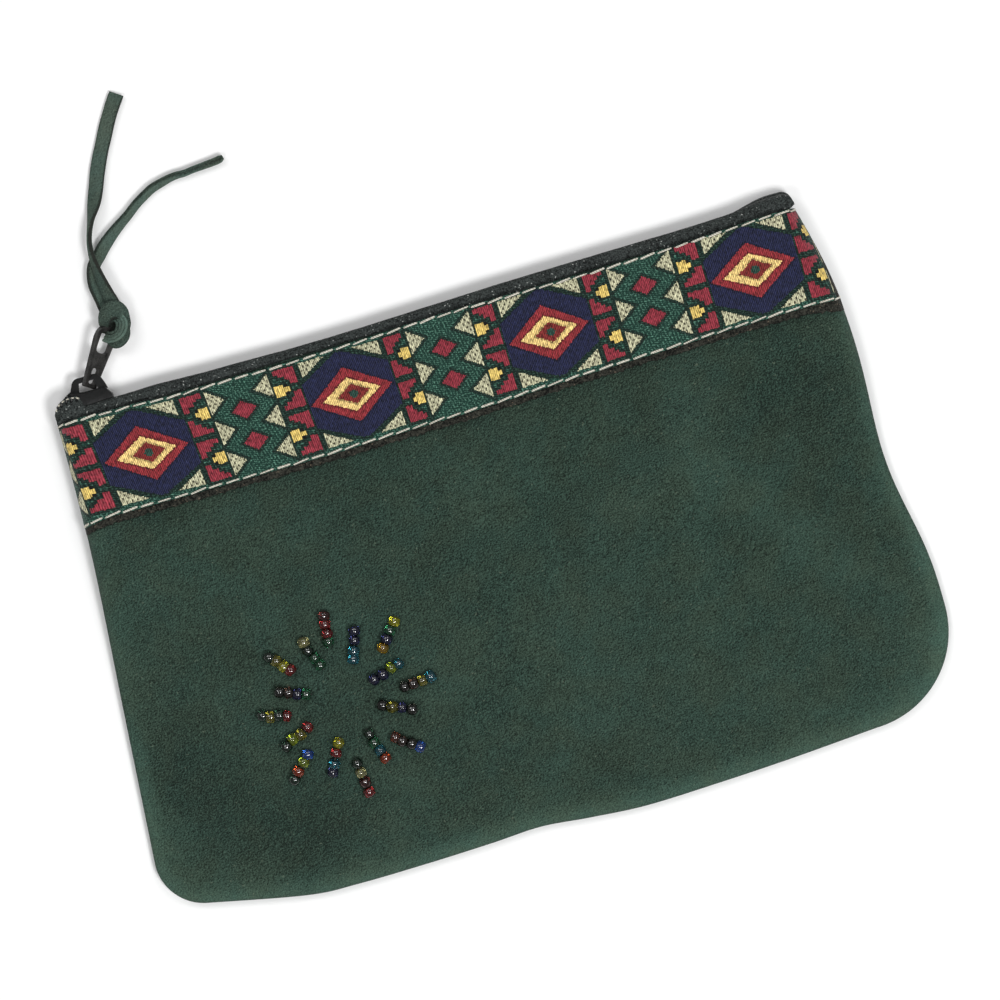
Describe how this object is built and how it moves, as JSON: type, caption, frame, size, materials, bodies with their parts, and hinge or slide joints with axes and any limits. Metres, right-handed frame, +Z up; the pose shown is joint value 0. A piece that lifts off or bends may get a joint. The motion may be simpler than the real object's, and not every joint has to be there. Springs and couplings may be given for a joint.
{
  "type": "beaded zip pouch",
  "caption": "Flat suede pouch with a zip along its top edge, a woven geometric trim ribbon, a knotted lace pull and a sunburst of glass beads on the front.",
  "frame": {"origin": "middle of the pouch on the flat of its back panel, which lies on the surface", "axes": "+X along the zip, to the right as the front is seen; +Y towards the zip; +Z up, out of the front"},
  "size_m": [0.1986, 0.1993, 0.0141],
  "materials": {
    "suede": "napped dark green suede",
    "backing_strip": "dark brown-black felted strip",
    "woven_ribbon": "jacquard ribbon in green, navy, red, gold and cream",
    "stitching": "cream sewing thread",
    "zip_tape": "black woven zip tape",
    "zip_coil": "black nylon coil",
    "zip_metal": "black enamelled casting",
    "lace": "grey-green suede lace",
    "bead_red": "red glass",
    "bead_green": "green glass",
    "bead_gold": "yellow glass",
    "bead_blue": "blue glass"
  },
  "bodies": {
    "pouch": {"front_panel": "suede", "back_panel": "suede", "trim_backing_strip": "backing_strip", "trim_ribbon": "woven_ribbon", "stitch_row_upper": "stitching", "stitch_row_lower": "stitching", "zip_tape_front": "zip_tape", "zip_tape_back": "zip_tape", "zip_coil_front": "zip_coil", "zip_coil_back": "zip_coil", "zip_top_stop_front": "zip_metal", "zip_top_stop_back": "zip_metal", "zip_bottom_stop": "zip_metal", "bead_string_01": "bead_red", "bead_string_02": "bead_green", "bead_string_03": "bead_gold", "bead_string_04": "bead_blue", "bead_string_05": "bead_red", "bead_string_06": "bead_green", "bead_string_07": "bead_gold", "bead_string_08": "bead_blue", "bead_string_09": "bead_red", "bead_string_10": "bead_green", "bead_string_11": "bead_gold", "bead_string_12": "bead_blue", "bead_string_13": "bead_red", "bead_string_14": "bead_green", "bead_string_15": "bead_gold", "bead_string_16": "bead_blue"},
    "slider": {"zip_slider": "zip_metal"},
    "pull_tab": {"zip_pull_tab": "zip_metal", "lace_knot": "lace", "lace_tail_left": "lace", "lace_tail_right": "lace"}
  },
  "joints": [
    {"name": "slider_travel", "type": "slide", "parent": "pouch", "child": "slider", "axis": [1, 0, 0], "range_m": [0, 0.139], "deforming": ["zip_coil_front", "zip_coil_back"]},
    {"name": "pull_tab_swing", "type": "hinge", "parent": "slider", "child": "pull_tab", "pos_m": [-0.0817, 0.06895, 0.0051], "axis": [0, 0, 1], "range_deg": [-36, 108], "deforming": ["lace_tail_left", "lace_tail_right"]}
  ]
}
